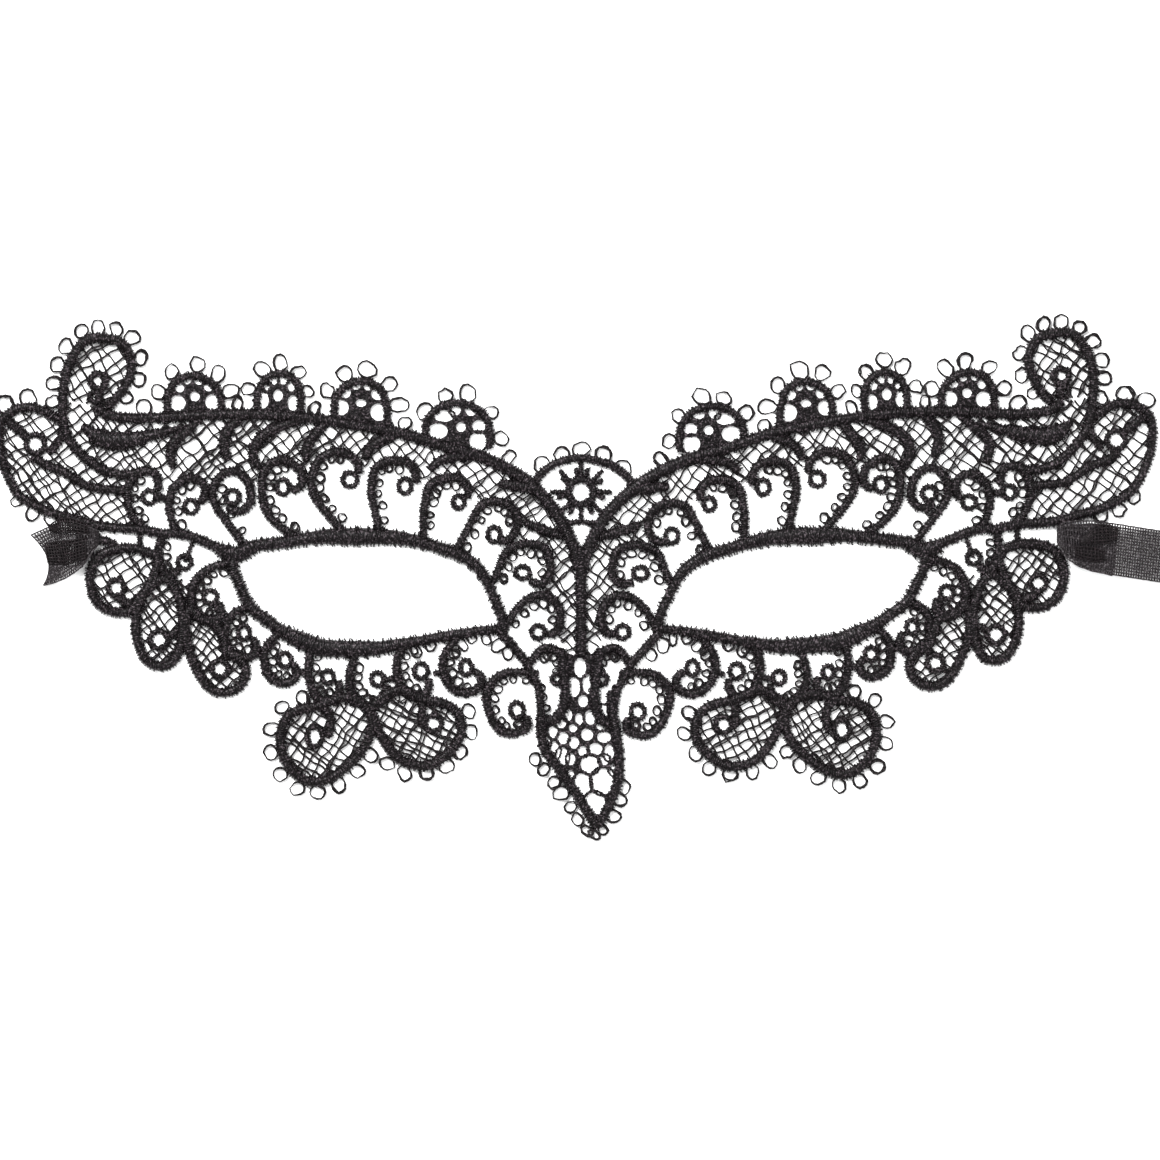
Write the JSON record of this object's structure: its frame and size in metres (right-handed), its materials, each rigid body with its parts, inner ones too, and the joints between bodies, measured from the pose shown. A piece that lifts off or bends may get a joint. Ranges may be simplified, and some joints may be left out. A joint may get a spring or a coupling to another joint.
{
  "type": "butterfly eye mask",
  "caption": "Flat embroidered lace eye mask with eye openings, scrolled scalloped edges, a pointed nose tip and ribbon ties looped through its sides.",
  "frame": {"origin": "on the lace's flat back, on the centre line between the eyes", "axes": "+X across the mask, +Y towards the forehead, +Z out of the lace's face, away from the wearer"},
  "size_m": [0.2401, 0.1029, 0.0035],
  "materials": {
    "lace_thread": "matte",
    "ribbon_weave": "satin"
  },
  "bodies": {
    "root": {"lace_mask": "lace_thread", "ribbon_tie_left": "ribbon_weave", "ribbon_tie_right": "ribbon_weave"}
  },
  "joints": []
}
